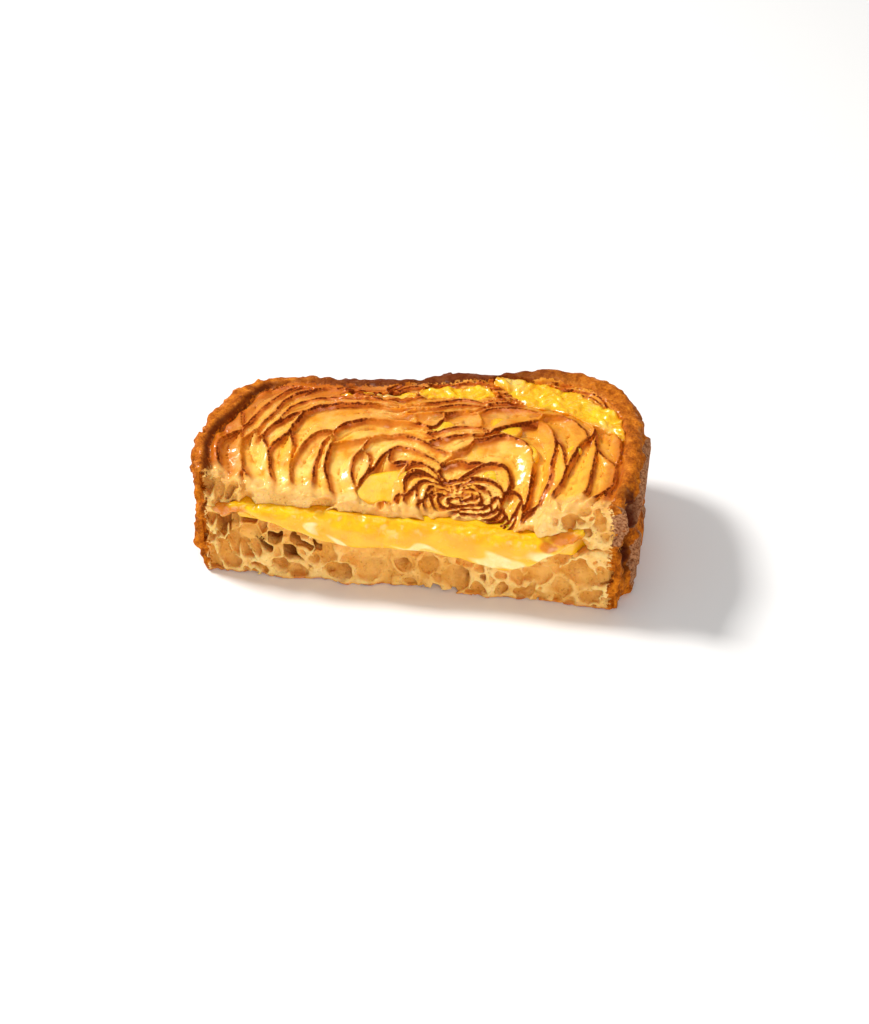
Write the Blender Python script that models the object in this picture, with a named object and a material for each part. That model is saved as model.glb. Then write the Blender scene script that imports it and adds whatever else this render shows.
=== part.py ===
"""Half of a grilled cheese sandwich, cut across and lying flat on its lower slice.

Two thick slices of a swirled loaf hold one layer of melted cheese. The cut face looks along -Y, the crust
runs round the left end, the back and the right end, and the toasted faces are the top and the bottom. The
cheese runs through the whole half and hangs over the lower slice in a drooping lip. Lengths below are in
millimetres, x to the right along the cut, y back from the cut face, z up from the table.
"""

import bisect
import math

import bmesh
import bpy
from mathutils import Vector, geometry, noise

MM = 0.001

# Heights of the layers
TOTAL_HEIGHT = 35.0
SEAM_HEIGHT = 20.2  # middle of the cheese, at x = 0
SEAM_SLOPE = -0.022  # the right end is pressed lower than the left
CHEESE_THICKNESS = 4.8
LAYER_GAP = 0.45  # kept between any two layers
RIM_WIDTH = 7.5  # the two crusts are closed on each other inside this width
CHEESE_INSET = 12.0  # from the crust to where the space for the cheese is fully open

# The crust line, seen from above, from the left end of the cut round to its right end
CRUST_LINE = [
    (-57.2, 0),
    (-59.6, 12),
    (-58.6, 25),
    (-54, 37),
    (-46, 44),
    (-34, 46.5),
    (-20, 47),
    (-7, 50.3),
    (6, 55),
    (16, 55.2),
    (30, 59.8),
    (40, 59),
    (48.5, 55),
    (54.5, 47),
    (58, 35),
    (59, 22),
    (57.8, 10),
    (55.5, 0),
]

# How far the crust rounds in at its edges
LEFT_CRUST_ROUNDING = 3.0
RIGHT_CRUST_ROUNDING = 5.5
UNDERSIDE_ROUNDING_SHARE = 0.55  # the lower slice has been pressed flatter
SEAM_ROUNDING = 1.6

# The upper slice's top edge sags along the cut, most above the drooping cheese: x, height of the edge
EDGE_LINE = [
    (-57.2, 34.3),
    (-47, 31.6),
    (-30, 30.2),
    (-17, 28),
    (-4, 26.3),
    (9.5, 24.3),
    (17, 23.9),
    (25, 23.8),
    (31, 26.5),
    (38, 33.2),
    (46, 34.3),
    (55.5, 34.3),
]
SAG_REACH_BACK = 15.0

# The rolled dough's spiral on the upper toasted face: thin ridges with a scoop between each turn and the next
SWIRL_CENTRE = (14.0, 7.0)
SWIRL_TURNS = 10.0
SCOOP_DEPTH = 1.7
SWIRL_START = 0.6  # turns from the centre to where the ridges start
SCOOP_LINES = (0.0, 0.28, 0.72)  # where points run between one ridge, at 0, and the next, at 1
SWIRL_WOBBLE = 1.3
EDGE_SCOOP_SHARE = 0.45  # of the scoops' depth is left at the cut
EDGE_SCOOP_FADE = 4.0
FACE_WAVE = 0.5

# Splits in the crust of the right end: distance from the cut, half width, depth
CRUST_SPLITS = [(7.0, 2.4, 3.2), (25.0, 1.8, 1.2), (41.0, 2.2, 1.7)]
SPLIT_LEAN = 0.25  # each split runs back as it rises
SPLIT_START_X = 40.0

# Gas holes in the cut faces: x, z, half width, half height, depth
LOWER_HOLES = [
    (-53.2, 12.6, 1.7, 4.2, 2.6),
    (-48.6, 13.6, 1.8, 3.6, 3.0),
    (-51.0, 5.4, 1.9, 2.6, 2.6),
    (-46.4, 7.4, 1.7, 2.4, 2.4),
    (-42.4, 12.2, 1.5, 3.2, 3.2),
    (-41.4, 5.6, 2.0, 2.2, 2.6),
    (-36.2, 9.4, 1.8, 2.8, 3.4),
    (-33.2, 4.4, 1.6, 2.0, 2.6),
    (-28.6, 8.8, 2.2, 2.6, 3.0),
    (-21.6, 4.2, 2.6, 1.6, 2.4),
    (-19.6, 9.8, 2.2, 2.2, 2.6),
    (-7.8, 9.6, 7.6, 2.7, 3.8),
    (-0.8, 3.8, 3.0, 1.9, 2.8),
    (5.2, 9.4, 2.7, 3.0, 3.0),
    (12.6, 5.4, 4.0, 3.3, 3.6),
    (14.0, 10.8, 2.2, 1.4, 2.2),
    (19.6, 7.8, 1.7, 2.6, 2.6),
    (24.4, 4.2, 2.2, 2.4, 3.0),
    (25.0, 9.2, 1.8, 1.5, 2.0),
    (29.8, 5.0, 1.8, 3.0, 2.8),
    (34.6, 9.0, 2.4, 2.6, 3.0),
    (35.4, 3.2, 2.4, 1.5, 2.2),
    (40.4, 6.8, 2.4, 2.8, 3.0),
    (45.6, 11.0, 2.5, 4.2, 3.6),
    (47.6, 3.8, 2.0, 1.7, 2.2),
]
UPPER_HOLES = [
    (-53.4, 28.4, 1.5, 2.9, 2.4),
    (-49.8, 26.0, 1.3, 2.2, 2.2),
    (-46.0, 28.6, 1.4, 2.4, 2.0),
    (-40.0, 25.4, 2.2, 1.3, 1.6),
    (42.6, 29.0, 2.2, 1.6, 1.8),
    (47.4, 25.6, 2.4, 1.9, 2.0),
]
HOLE_RINGS = [(1.0, 0.0), (0.82, 0.62), (0.45, 0.93)]  # share of the radius, share of the depth
HOLE_MARGIN = 0.7  # kept between a hole and the edge of its face

# How the cheese stands out of the cut face, and how low its lip hangs: x, height of the lip's edge
CHEESE_BULGE = 3.4
CHEESE_LEFT = -46.5
CHEESE_RIGHT = 43.0
CHEESE_TAPER = 7.0
UPPER_DROP = 0.45  # share of the lip's height that lies above its widest point
LIP_LINE = [
    (-46.5, 20.6),
    (-38, 19.6),
    (-30, 18.2),
    (-18, 15.8),
    (-4, 16),
    (10, 15.6),
    (18, 14.8),
    (25, 13.2),
    (32, 15),
    (38, 18.2),
    (43, 18.9),
]

# Distances between mesh points
CRUST_SPACING = 5.0
SPLIT_SPACING = 2.0
CUT_SPACING = 1.9
SPIRAL_SPACING = 3.0
WALL_LEVELS = 9
CHEESE_STATIONS = 42


def smoothstep(low, high, value):
    t = min(1.0, max(0.0, (value - low) / (high - low)))
    return t * t * (3 - 2 * t)


def between(p, q, r, s, t):
    """Catmull-Rom value a share t of the way from q to r."""
    slope, bend = r - p, 2 * p - 5 * q + 4 * r - s
    return 0.5 * (2 * q + slope * t + bend * t * t + (3 * q - p - 3 * r + s) * t**3)


def spline(points, count):
    """Evenly many points of a Catmull-Rom curve through the given ones, both ends included."""
    ends = [points[0], *points, points[-1]]
    spans = len(points) - 1
    made = []
    for i in range(count):
        where = i / (count - 1) * spans
        span = min(int(where), spans - 1)
        t = where - span
        a, b, c, d = ends[span : span + 4]
        made.append(tuple(between(*four, t) for four in zip(a, b, c, d)))
    return made


FINE_CRUST = spline(CRUST_LINE, 240)


def crust_distance(x, y):
    """Distance from the crust line, along the table."""
    return min(math.hypot(x - cx, y - cy) for cx, cy in FINE_CRUST)


def line_height(points, x):
    """Height at x on the smooth line through (x, height) points."""
    if x <= points[0][0]:
        return points[0][1]
    for (x0, z0), (x1, z1) in zip(points, points[1:]):
        if x <= x1:
            return z0 + (z1 - z0) * smoothstep(x0, x1, x)
    return points[-1][1]


def seam(x):
    return SEAM_HEIGHT + SEAM_SLOPE * x


def half_opening(x, y):
    """Half of the space between the slices: closed at the crust, open over the cheese."""
    opened = smoothstep(RIM_WIDTH, CHEESE_INSET, crust_distance(x, y))
    return LAYER_GAP / 2 + opened * CHEESE_THICKNESS / 2


def sag(x, y):
    """How far the upper slice is pressed down near the cut."""
    return (TOTAL_HEIGHT - line_height(EDGE_LINE, x)) * math.exp(-((max(y, 0.0) / SAG_REACH_BACK) ** 2))


def direction(x, y):
    """Angle round the swirl's centre, from straight in front of the cut."""
    angle = math.atan2(y - SWIRL_CENTRE[1], x - SWIRL_CENTRE[0])
    return angle if angle > -math.pi / 2 else angle + math.tau


REACHES = sorted((direction(x, y), math.dist((x, y), SWIRL_CENTRE)) for x, y in FINE_CRUST)


def crust_reach(angle):
    """Distance from the swirl's centre to the crust, or in front of the cut to the whole loaf's crust."""
    angle = (angle + math.pi / 2) % math.tau - math.pi / 2
    place = bisect.bisect(REACHES, (angle, 0.0))
    before = REACHES[place - 1] if place > 0 else (REACHES[-1][0] - math.tau, REACHES[-1][1])
    after = REACHES[place] if place < len(REACHES) else (REACHES[0][0] + math.tau, REACHES[0][1])
    share = (angle - before[0]) / max(after[0] - before[0], 1e-9)
    return before[1] + (after[1] - before[1]) * share


def wobble(x, y):
    """How far the swirl's ridges wander from an even spiral."""
    sideways = noise.noise(Vector((x / 11, y / 11, 0.4)))
    inward = noise.noise(Vector((x / 11, y / 11, 7.9)))
    return Vector((sideways, inward)) * SWIRL_WOBBLE


def scoop(share, fold, x, y):
    """Height of the toasted face below its ridges; fold runs from one ridge, at 0, to the next, at 1."""
    fade = smoothstep(0.0, 0.12, share) * smoothstep(1.0, 0.88, share)
    uneven = 1 + 0.6 * noise.noise(Vector((x / 9, y / 9, 5.2)))
    return -SCOOP_DEPTH * fade * uneven * math.sin(math.pi * fold) ** 0.6


def swirl_relief(x, y):
    even_x, even_y = Vector((x, y)) - wobble(x, y)
    angle = direction(even_x, even_y)
    share = math.dist((even_x, even_y), SWIRL_CENTRE) / crust_reach(angle)
    fold = (SWIRL_TURNS * share - angle / math.tau) % 1.0
    return scoop(share, fold, x, y)


def top_height(x, y):
    """The upper toasted face."""
    wave = FACE_WAVE * noise.noise(Vector((x / 17, y / 17, 3.1)))
    full = EDGE_SCOOP_SHARE + (1 - EDGE_SCOOP_SHARE) * smoothstep(0.0, EDGE_SCOOP_FADE, y)
    relief = full * swirl_relief(x, y)
    return TOTAL_HEIGHT - FACE_WAVE + wave - sag(x, y) + relief


def swirl_lines():
    """Lines of points along the swirl's ridges and scoops, where they lie inside the upper toasted face."""
    lines = []
    for fold in SCOOP_LINES:
        line = []
        turn = SWIRL_START
        while turn + fold < SWIRL_TURNS:
            angle = math.tau * turn
            radius = (turn + fold) / SWIRL_TURNS * crust_reach(angle)
            turn += SPIRAL_SPACING / math.tau / radius
            even = Vector(SWIRL_CENTRE) + Vector((math.cos(angle), math.sin(angle))) * radius
            x, y = even + wobble(*even)
            if y > 1.0 and crust_distance(x, y) > end_rounding(x) + 1.0:
                line.append((x, y, top_height(x, y)))
            else:
                lines.append(line)
                line = []
        lines.append(line)
    return lines


def end_rounding(x):
    right = smoothstep(30, 52, x)
    return LEFT_CRUST_ROUNDING + (RIGHT_CRUST_ROUNDING - LEFT_CRUST_ROUNDING) * right


def split_depth(x, y, z):
    """How deep the splits cut into the crust of the right end."""
    if x < SPLIT_START_X:
        return 0.0
    deepest = 0.0
    for start, half_width, depth in CRUST_SPLITS:
        offset = abs(y - start - SPLIT_LEAN * (z - TOTAL_HEIGHT / 2))
        deepest = max(deepest, depth * max(0.0, 1 - offset / half_width))
    return deepest


def crust_stations():
    """Points along the crust line with the direction into the slice, closer where the crust is split."""
    chosen = [FINE_CRUST[0]]
    for point in FINE_CRUST[1:-1]:
        spacing = SPLIT_SPACING if point[0] > SPLIT_START_X and point[1] < 50 else CRUST_SPACING
        if math.dist(point, chosen[-1]) >= spacing and math.dist(point, FINE_CRUST[-1]) >= spacing / 2:
            chosen.append(point)
    chosen.append(FINE_CRUST[-1])
    stations = []
    for i, (x, y) in enumerate(chosen):
        before = chosen[max(i - 1, 0)]
        after = chosen[min(i + 1, len(chosen) - 1)]
        along = Vector((after[0] - before[0], after[1] - before[1])).normalized()
        stations.append((x, y, along.y, -along.x))
    return stations


def crust_wall(floor, roof, seam_below):
    """The crust's wall as loops of points from floor to roof; its first and last columns lie in the cut."""
    loops = []
    for level in range(WALL_LEVELS + 1):
        even = level / WALL_LEVELS
        share = 0.45 * even + 0.55 * (0.5 - 0.5 * math.cos(math.pi * even))
        toasted_side = share if seam_below else 1 - share
        edge = 1 - math.sqrt(1 - max(0.0, 2 * toasted_side - 1) ** 2)
        seam_edge = 1 - math.sqrt(1 - max(0.0, 1 - 2 * toasted_side) ** 2)
        loop = []
        for x, y, into_x, into_y in crust_stations():
            z = floor(x, y) + (roof(x, y) - floor(x, y)) * share
            flattened = 1 if seam_below else UNDERSIDE_ROUNDING_SHARE
            step = end_rounding(x) * edge * flattened + SEAM_ROUNDING * seam_edge
            step += split_depth(x, y, z) * smoothstep(0.0, 0.12, share) * smoothstep(0.0, 0.12, 1 - share)
            loop.append((x + into_x * step, y + into_y * step * smoothstep(0.0, 5.0, y), z))
        loops.append(loop)
    return loops


def cut_row(right_end, left_end, height):
    """Points along one edge of the cut face, between its two corners."""
    count = round((right_end - left_end) / CUT_SPACING)
    xs = [right_end + (left_end - right_end) * i / count for i in range(1, count)]
    return [(x, 0.0, height(x, 0.0)) for x in xs]


def hole_lines(holes, low_row, high_row):
    """Rings of points that sink each gas hole into the cut face."""
    made = []
    for x, z, half_width, half_height, depth in holes:
        floor = max(p[2] for p in low_row if abs(p[0] - x) < half_width + CUT_SPACING)
        roof = min(p[2] for p in high_row if abs(p[0] - x) < half_width + CUT_SPACING)
        half_height = min(half_height, z - floor - HOLE_MARGIN, roof - z - HOLE_MARGIN)
        if half_height < 0.6:
            continue
        count = 9 + round(half_width)
        for radius_share, depth_share in HOLE_RINGS:
            ring = []
            for i in range(count):
                angle = math.tau * i / count
                across = half_width * radius_share * math.cos(angle)
                up = half_height * radius_share * math.sin(angle)
                ring.append((x + across, depth * depth_share, z + up))
            made.append([*ring, ring[0]])
        made.append([(x, depth, z)])
    return made


class Skin:
    """The faces of one closed solid; equal points are shared."""

    def __init__(self):
        self.places = {}
        self.faces = []

    def index(self, point):
        return self.places.setdefault(tuple(point), len(self.places))

    def add_strip(self, loops):
        """Quads between open loops of equal length."""
        for low, high in zip(loops, loops[1:]):
            for i in range(len(low) - 1):
                corners = (low[i], low[i + 1], high[i + 1], high[i])
                self.faces.append([self.index(p) for p in corners])

    def add_sheet(self, outline, lines, flat):
        """Triangles over an outline, with edges along the lines inside it; flat drops one coordinate."""
        points = {}
        edges = []
        for line in [[*outline, outline[0]], *lines]:
            numbers = [points.setdefault(p, len(points)) for p in line]
            edges += zip(numbers, numbers[1:])
        places = list(points)
        flat_places = [Vector(flat(p)) for p in places]
        _, _, triangles, sources, _, _ = geometry.delaunay_2d_cdt(flat_places, edges, [], 1, 1e-6)
        for triangle in triangles:
            self.faces.append([self.index(places[sources[i][0]]) for i in triangle])

    def make(self, name):
        mesh = bpy.data.meshes.new(name)
        mesh.from_pydata([tuple(Vector(p) * MM) for p in self.places], [], self.faces)
        shape = bmesh.new()
        shape.from_mesh(mesh)
        bmesh.ops.recalc_face_normals(shape, faces=shape.faces)
        shape.to_mesh(mesh)
        shape.free()
        mesh.shade_smooth()
        mesh.set_sharp_from_angle(angle=math.radians(40))
        made = bpy.data.objects.new(name, mesh)
        bpy.context.scene.collection.objects.link(made)
        return made


def seen_from_above(point):
    return point[0], point[1]


def seen_from_cut(point):
    return point[0], point[2]


def seam_lines(height):
    """Lines that follow the crust across the face over the cheese, so that the closed rim stays even."""
    lines = []
    for distance in (RIM_WIDTH, (RIM_WIDTH + CHEESE_INSET) / 2, CHEESE_INSET):
        line = []
        for x, y, into_x, into_y in crust_stations()[::2]:
            px, py = x + into_x * distance, y + into_y * distance
            if py > 1.5 and crust_distance(px, py) > distance - 0.5:
                line.append((px, py, height(px, py)))
        lines.append(line)
    return lines


def slice_of_bread(name, floor, roof, seam_below, holes, floor_lines, roof_lines):
    """One slice: its crust wall, its cut face with gas holes, and its two broad faces."""
    wall = crust_wall(floor, roof, seam_below)
    low_row = cut_row(wall[0][-1][0], wall[0][0][0], floor)
    high_row = cut_row(wall[-1][-1][0], wall[-1][0][0], roof)
    right_corner = [loop[-1] for loop in wall]
    left_corner = [loop[0] for loop in wall]
    skin = Skin()
    skin.add_strip(wall)
    skin.add_sheet(wall[0] + low_row, floor_lines, seen_from_above)
    skin.add_sheet(wall[-1] + high_row, roof_lines, seen_from_above)
    cut_outline = low_row[::-1] + right_corner + high_row + left_corner[::-1]
    skin.add_sheet(cut_outline, hole_lines(holes, low_row, high_row), seen_from_cut)
    return skin.make(name)


def bread_bottom():
    def roof(x, y):
        return seam(x) - half_opening(x, y)

    def floor(x, y):
        return 0.0

    return slice_of_bread("bread_bottom", floor, roof, False, LOWER_HOLES, [], seam_lines(roof))


def bread_top():
    def floor(x, y):
        return seam(x) + half_opening(x, y)

    return slice_of_bread("bread_top", floor, top_height, True, UPPER_HOLES, seam_lines(floor), swirl_lines())


def cheese_section(x):
    """The cheese's outline across the sandwich at x, as (y, z), from the back round the top to the lip."""
    middle = seam(x)
    ends = smoothstep(0.0, CHEESE_TAPER, x - CHEESE_LEFT) * smoothstep(0.0, CHEESE_TAPER, CHEESE_RIGHT - x)
    half = (CHEESE_THICKNESS - LAYER_GAP) / 2 * (0.45 + 0.55 * ends)
    back = max(y for cx, y in FINE_CRUST if abs(cx - x) < 3) - CHEESE_INSET - 1.5
    nose = LAYER_GAP + 0.3 + CHEESE_BULGE * ends
    lip = min(line_height(LIP_LINE, x), middle - half)
    outline = [(back - 1.2, middle + half)]
    for share in (0.7, 0.4, 0.15, 0.0):
        outline.append((back * share, middle + half))
    drop = middle + half - lip
    for turn in (0.25, 0.5, 0.75, 1.0):
        angle = turn * math.pi / 2
        outline.append((-nose * math.sin(angle), middle + half - UPPER_DROP * drop * (1 - math.cos(angle))))
    for turn in (0.35, 0.7, 0.9):
        angle = turn * math.pi / 2
        depth = LAYER_GAP + (nose - LAYER_GAP) * (0.35 + 0.65 * math.cos(angle))
        outline.append((-depth, lip + (1 - UPPER_DROP) * drop * (1 - math.sin(angle))))
    outline.append((-LAYER_GAP - 0.25 * (nose - LAYER_GAP), lip))
    outline.append((-LAYER_GAP, lip + 0.12 * (middle - half - lip)))
    outline.append((-LAYER_GAP, middle - half))
    for share in (0.1, 0.4, 0.7):
        outline.append((back * share, middle - half))
    outline.append((back - 1.2, middle - half))
    outline.append((back, middle))
    return outline


def cheese():
    """The melted layer, as sections from its right end to its left, each end closed by a fan."""
    skin = Skin()
    loops = []
    for i in range(CHEESE_STATIONS + 1):
        x = CHEESE_RIGHT + (CHEESE_LEFT - CHEESE_RIGHT) * i / CHEESE_STATIONS
        section = [(x, y, z) for y, z in cheese_section(x)]
        loops.append([*section, section[0]])
    skin.add_strip(loops)
    for loop, x in ((loops[0], CHEESE_RIGHT + 0.8), (loops[-1], CHEESE_LEFT - 0.8)):
        tip = skin.index((x, 12.0, seam(x)))
        for first, second in zip(loop, loop[1:]):
            skin.faces.append([skin.index(first), skin.index(second), tip])
    return skin.make("cheese")


def material(name, colour, roughness):
    made = bpy.data.materials.new(name)
    made.use_nodes = True
    shader = made.node_tree.nodes["Principled BSDF"]
    shader.inputs["Base Color"].default_value = (*colour, 1.0)
    shader.inputs["Roughness"].default_value = roughness
    shader.inputs["Metallic"].default_value = 0.0
    return made


def centre_on_base(objects):
    """Moves the meshes so that the middle of the whole's footprint is the origin and its base is at z = 0."""
    points = [v.co for o in objects for v in o.data.vertices]
    low = Vector((min(p.x for p in points), min(p.y for p in points), min(p.z for p in points)))
    high = Vector((max(p.x for p in points), max(p.y for p in points), 0.0))
    shift = Vector((-(low.x + high.x) / 2, -(low.y + high.y) / 2, -low.z))
    for o in objects:
        for v in o.data.vertices:
            v.co += shift


def main():
    for old in list(bpy.data.objects):
        bpy.data.objects.remove(old)
    toast = material("toasted_bread", (0.72, 0.38, 0.11), 0.75)
    crumb = material("crumb_bread", (0.8, 0.5, 0.2), 0.85)
    melted = material("melted_cheese", (0.95, 0.6, 0.08), 0.3)
    layers = [(bread_bottom(), crumb), (cheese(), melted), (bread_top(), toast)]
    for layer, finish in layers:
        layer.data.materials.append(finish)
    centre_on_base([layer for layer, _ in layers])


main()
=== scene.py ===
"""Looks of the grilled cheese half: two toasted slices with an open crumb, and the cheese between them.

Each piece starts as a field of distances on a grid, negative inside, which becomes one closed mesh.
Lengths are in millimetres: x to the right along the cut, y back from the cut face, z up from the table.
place() turns them into the frame's metres.
"""

import math

import bpy
import numpy as np
import openvdb
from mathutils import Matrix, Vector


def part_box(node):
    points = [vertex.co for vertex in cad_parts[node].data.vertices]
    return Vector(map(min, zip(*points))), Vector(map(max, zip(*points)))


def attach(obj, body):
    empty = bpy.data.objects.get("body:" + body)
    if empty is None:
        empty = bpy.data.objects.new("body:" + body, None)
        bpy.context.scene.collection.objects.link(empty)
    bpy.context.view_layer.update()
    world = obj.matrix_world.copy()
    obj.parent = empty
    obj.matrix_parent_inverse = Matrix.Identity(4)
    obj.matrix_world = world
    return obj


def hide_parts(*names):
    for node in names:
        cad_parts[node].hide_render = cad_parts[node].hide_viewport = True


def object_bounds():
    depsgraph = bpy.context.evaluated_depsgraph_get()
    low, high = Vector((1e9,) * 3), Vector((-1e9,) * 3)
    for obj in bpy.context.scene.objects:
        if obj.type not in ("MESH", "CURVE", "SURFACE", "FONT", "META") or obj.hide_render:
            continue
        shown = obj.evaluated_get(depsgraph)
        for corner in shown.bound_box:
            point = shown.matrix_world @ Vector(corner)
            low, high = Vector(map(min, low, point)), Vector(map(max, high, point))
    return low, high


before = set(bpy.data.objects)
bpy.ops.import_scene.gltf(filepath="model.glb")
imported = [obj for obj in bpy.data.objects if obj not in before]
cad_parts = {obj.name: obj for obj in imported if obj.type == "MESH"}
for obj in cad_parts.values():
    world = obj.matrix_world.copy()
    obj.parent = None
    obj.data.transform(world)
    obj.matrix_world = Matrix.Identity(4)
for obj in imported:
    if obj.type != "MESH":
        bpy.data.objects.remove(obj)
cad_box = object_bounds()

MM = 0.001
STEP = 0.34  # spacing of the grids' points
MARGIN = 3 * STEP  # empty space kept round a shape on its grid
SIDE_SLACK = 0.06  # how far the pieces stay inside the part's own sides
TOP_SLACK = 0.04
BREAD_ADAPTIVITY = 0.2  # how freely flat parts of the bread's mesh get larger faces

# The crust line seen from above, from the left end of the cut round to its right end
CRUST_LINE = [
    (-57.2, 0), (-59.6, 12), (-58.6, 25), (-54, 37), (-46, 44), (-34, 46.5), (-20, 47), (-7, 50.3),
    (6, 55), (16, 55.2), (30, 59.8), (40, 59), (48.5, 55), (54.5, 47), (58, 35), (59, 22),
    (57.8, 10), (55.5, 0),
]

# Heights of the layers
TOTAL_HEIGHT = cad_box[1].z / MM
SEAM_HEIGHT = 20.2
SEAM_SLOPE = -0.022
CHEESE_THICKNESS = 4.8
RIM_WIDTH = 8.5
CHEESE_INSET = 13.0
SEAM_GAP = 0.12

# The upper slice's top edge sags along the cut: x, height of the edge
EDGE_LINE = [
    (-57.2, 34.3), (-47, 31.4), (-30, 30.0), (-17, 27.8), (-4, 26.0), (9.5, 23.6), (17, 22.8),
    (25, 22.6), (31, 25.8), (38, 33.0), (46, 34.3), (55.5, 34.3),
]
SAG_REACH_BACK = 15.0

# The rolled dough's spiral
SWIRL_CENTRE = (14.0, 7.0)
SWIRL_TURNS = 13.0
CORE_TURNS = 4.4  # inside this many turns the dough is rolled twice as tight
CRUST_RIM = 4.3  # width of the plain crust round the toasted face
# Places where that crust is wider: x, y, reach, extra width
WIDE_RIM = [
    (-50, 31, 8, 2.8), (9, 51, 5, 1.5), (52, 42, 12, 2.6), (56, 20, 12, 1.4), (37, 55, 12, 3.4),
]

# The cheese's lip along the cut: x, height of its lower edge
LIP_LINE = [
    (-46.5, 20.6), (-38, 19.8), (-30, 17.6), (-22, 14.8), (-14, 14.0), (-4, 14.9), (4, 14.6),
    (12, 13.6), (19, 12.4), (25, 11.0), (31, 13.0), (37, 17.6), (43, 20.4),
]
# Browned lumps of cheese on the cut: x, y, z, half length, half depth, half height, lean in degrees
CHEESE_LUMPS = [
    (-48.2, -0.3, 21.6, 4.6, 1.5, 1.6, 20),
    (40.6, -0.6, 23.4, 4.4, 1.9, 2.2, 24),
    (36.2, -1.2, 20.6, 2.2, 1.2, 1.2, 30),
]
# Creamy spots on the cheese: x, z, half width, half height
CREAM_SPOTS = [
    (-24.5, 18.8, 2.2, 2.4),
    (-19.0, 16.6, 2.4, 2.2),
    (24.0, 14.6, 7.5, 3.2),
    (34.0, 18.0, 5.5, 2.4),
    (2.0, 16.2, 9.0, 1.3),
]
CHEESE_LEFT = -46.5
CHEESE_RIGHT = 43.5
CHEESE_BULGE = 3.6

# Gas holes on the cut faces: x, z, half width, half height, depth, lean in degrees
LOWER_HOLES = [
    (-55.2, 5.6, 1.3, 1.7, 1.8, 0), (-54.6, 14.4, 0.9, 1.7, 1.6, 0),
    (-55.3, 10.9, 0.9, 1.0, 1.8, 0), (-53.2, 11.2, 0.8, 1.5, 1.4, 0),
    (-52.6, 17.2, 1.2, 1.5, 1.8, 0), (-49.9, 15.8, 1.5, 3.5, 5.0, 0),
    (-50.2, 7.8, 1.9, 3.1, 2.6, 0), (-47.0, 16.4, 1.2, 3.2, 2.6, -4),
    (-47.2, 9.8, 1.4, 2.8, 2.2, 18), (-47.6, 3.6, 1.6, 1.4, 2.4, 20),
    (-42.8, 17.6, 2.0, 1.6, 5.5, 0), (-42.6, 13.2, 2.3, 3.0, 2.4, 8),
    (-43.8, 7.6, 1.3, 2.6, 2.2, 36), (-41.3, 9.0, 1.1, 2.0, 1.8, 30),
    (-41.0, 3.4, 1.8, 1.3, 2.0, -20), (-39.2, 16.6, 1.2, 2.8, 2.0, 0),
    (-38.0, 8.8, 2.2, 0.9, 5.0, -38), (-36.5, 12.4, 1.5, 1.9, 6.5, 0),
    (-35.4, 4.6, 3.0, 1.4, 2.4, -26), (-33.0, 15.4, 4.6, 1.7, 1.6, -8),
    (-28.4, 11.0, 2.9, 1.5, 6.0, -24), (-30.4, 7.0, 3.6, 1.7, 6.5, -30),
    (-26.4, 6.6, 1.6, 1.0, 1.6, 0), (-22.4, 9.6, 3.4, 2.4, 1.6, 10),
    (-18.4, 4.4, 3.6, 2.0, 3.4, 16), (-13.4, 10.8, 6.6, 2.4, 1.8, -10),
    (-9.6, 5.8, 8.2, 3.2, 2.6, -14), (-2.4, 7.0, 2.3, 2.4, 3.8, 0), (-0.6, 2.0, 3.0, 1.3, 2.6, -10),
    (1.6, 11.6, 2.0, 2.2, 2.4, 0), (4.6, 8.8, 2.9, 3.3, 3.4, 0), (8.6, 12.2, 2.0, 1.6, 2.0, 0),
    (6.8, 3.8, 1.3, 1.8, 1.8, 0), (12.3, 5.2, 4.0, 3.8, 3.8, 10), (14.4, 10.4, 2.4, 1.5, 2.2, 0),
    (18.2, 9.0, 1.6, 1.7, 1.8, 0), (18.0, 3.6, 2.4, 2.3, 2.6, 0), (23.8, 3.6, 2.2, 2.3, 3.2, 14),
    (23.4, 8.2, 1.9, 1.6, 2.0, 0), (28.0, 7.4, 1.5, 2.8, 2.0, 0), (29.6, 2.7, 3.2, 1.5, 2.4, 8),
    (31.2, 8.2, 1.3, 1.8, 1.8, 0), (34.6, 8.8, 2.8, 2.9, 2.6, -10), (39.8, 5.8, 3.1, 3.3, 3.0, 0),
    (36.6, 13.2, 2.2, 1.3, 1.6, 0), (43.8, 11.2, 4.4, 4.8, 3.4, -14), (46.8, 3.0, 2.8, 1.6, 2.2, 0),
    (50.2, 10.6, 1.4, 2.0, 1.8, 0),
]
UPPER_HOLES = [
    (-53.4, 27.6, 1.2, 2.6, 2.4, 0), (-50.2, 26.0, 1.0, 2.4, 2.2, -8),
    (-47.6, 25.4, 1.0, 1.9, 2.0, -14), (-52.2, 31.2, 1.6, 0.9, 1.6, 20),
    (-55.2, 23.6, 0.9, 1.3, 1.6, 0), (41.0, 27.6, 1.6, 2.0, 2.0, 10),
    (45.0, 25.2, 1.7, 1.2, 2.0, -16), (48.8, 28.6, 1.3, 2.2, 2.0, 0),
    (44.4, 30.8, 1.8, 1.1, 1.6, 0),
]
HOLE_ROUNDING = 0.7  # how far the rims of the holes are rounded
WHOLE_CRUST = 2.1  # how far in from the crust line there are no holes

# Share of the smaller holes kept along the cut: x, share
LOWER_CROWDING = [
    (-60, 0.5), (-46, 0.25), (-34, 0.2), (-24, 0.12), (-4, 0.15), (4, 0.7), (24, 0.9), (60, 1.0),
]
UPPER_CROWDING = [
    (-60, 0.7), (-46, 0.4), (-38, 0.08), (20, 0.03), (34, 0.25), (60, 0.5),
]

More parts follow.
